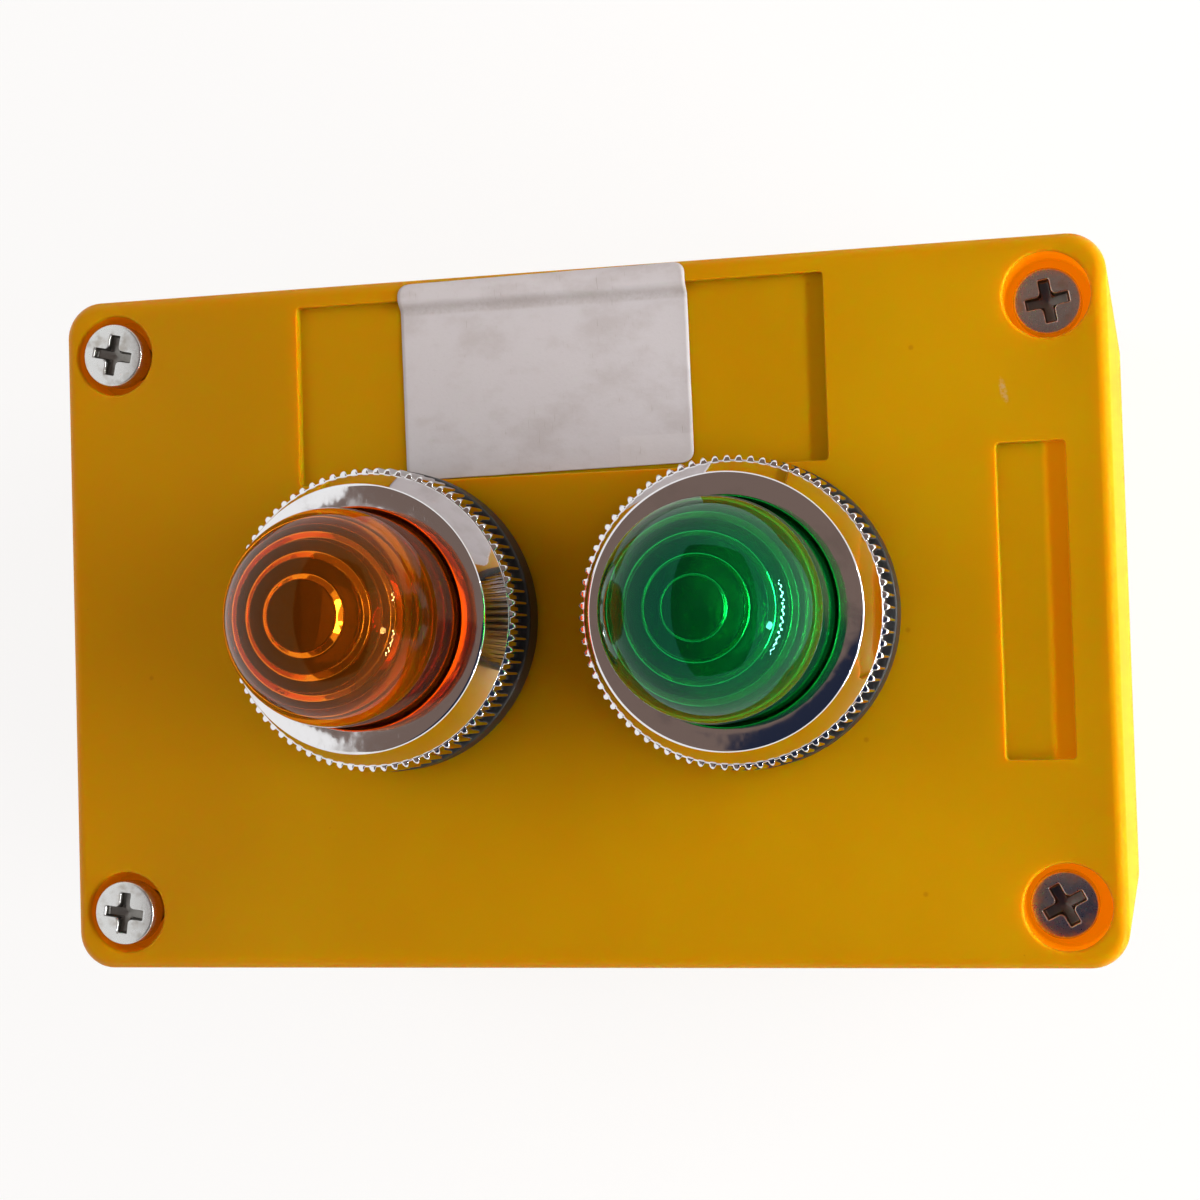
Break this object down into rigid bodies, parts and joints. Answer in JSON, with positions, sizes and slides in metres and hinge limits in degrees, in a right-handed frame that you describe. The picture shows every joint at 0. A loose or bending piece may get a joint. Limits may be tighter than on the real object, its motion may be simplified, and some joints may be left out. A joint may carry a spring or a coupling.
{
  "type": "two-lamp control station",
  "caption": "Yellow moulded control station box with an amber and a green domed pilot lamp in knurled chrome bezels.",
  "frame": {"origin": "centre of the back face of the base, where the case rests or meets the wall", "axes": "+Z out of the front towards the lamps' domes, +X along the long side towards the narrow recess and the green lamp, +Y towards the wide legend recess"},
  "size_m": [0.1169, 0.075, 0.1007],
  "materials": {
    "case_plastic": "moulded, fine matt-gloss surface, orange yellow",
    "black_moulding": "moulded black plastic",
    "brown_moulding": "pressed brown phenolic",
    "bezel_chrome": "bright chrome plating",
    "amber_lens": "clear amber acrylic, polished",
    "green_lens": "clear green acrylic, polished",
    "bulb_glass": "clear glass",
    "brass": "turned and stamped brass",
    "zinc_steel": "bright zinc plating",
    "seal_rubber": "moulded black rubber",
    "grommet_rubber": "moulded black rubber",
    "sticker_paper": "greyish white coated paper"
  },
  "bodies": {
    "base": {"base": "case_plastic", "threaded_inserts": "brass", "cable_grommet": "grommet_rubber"},
    "cover": {"cover": "case_plastic", "cover_screws": "zinc_steel", "sticker": "sticker_paper", "amber_body": "black_moulding", "amber_panel_gasket": "seal_rubber", "amber_washer": "zinc_steel", "amber_ring_nut": "black_moulding", "amber_lens_seal": "seal_rubber", "amber_bulb_glass": "bulb_glass", "amber_bulb_cap": "brass", "amber_socket": "brass", "amber_terminal_block": "brown_moulding", "amber_terminal_plates": "brass", "amber_terminal_screws": "zinc_steel", "green_body": "black_moulding", "green_panel_gasket": "seal_rubber", "green_washer": "zinc_steel", "green_ring_nut": "black_moulding", "green_lens_seal": "seal_rubber", "green_bulb_glass": "bulb_glass", "green_bulb_cap": "brass", "green_socket": "brass", "green_terminal_block": "brown_moulding", "green_terminal_plates": "brass", "green_terminal_screws": "zinc_steel"},
    "amber_lens": {"amber_lens": "amber_lens"},
    "amber_bezel": {"amber_bezel": "bezel_chrome"},
    "green_lens": {"green_lens": "green_lens"},
    "green_bezel": {"green_bezel": "bezel_chrome"}
  },
  "joints": [
    {"name": "cover_lift", "type": "slide", "parent": "base", "child": "cover", "axis": [0, 0, 1], "range_m": [0, 0.08]},
    {"name": "amber_lens_lift", "type": "slide", "parent": "cover", "child": "amber_lens", "axis": [0, 0, 1], "range_m": [0, 0.0038]},
    {"name": "amber_bezel_turn", "type": "hinge", "parent": "amber_lens", "child": "amber_bezel", "pos_m": [-0.019, 0.0002, 0.0793], "axis": [0, 0, 1], "range_deg": [0, 900]},
    {"name": "green_lens_lift", "type": "slide", "parent": "cover", "child": "green_lens", "axis": [0, 0, 1], "range_m": [0, 0.0038]},
    {"name": "green_bezel_turn", "type": "hinge", "parent": "green_lens", "child": "green_bezel", "pos_m": [0.0197, -0.0004, 0.0793], "axis": [0, 0, 1], "range_deg": [0, 900]}
  ],
  "couplings": [
    {"joint": "amber_lens_lift", "follows": "amber_bezel_turn", "m_per_rad": 0.00023873},
    {"joint": "green_lens_lift", "follows": "green_bezel_turn", "m_per_rad": 0.00023873}
  ]
}
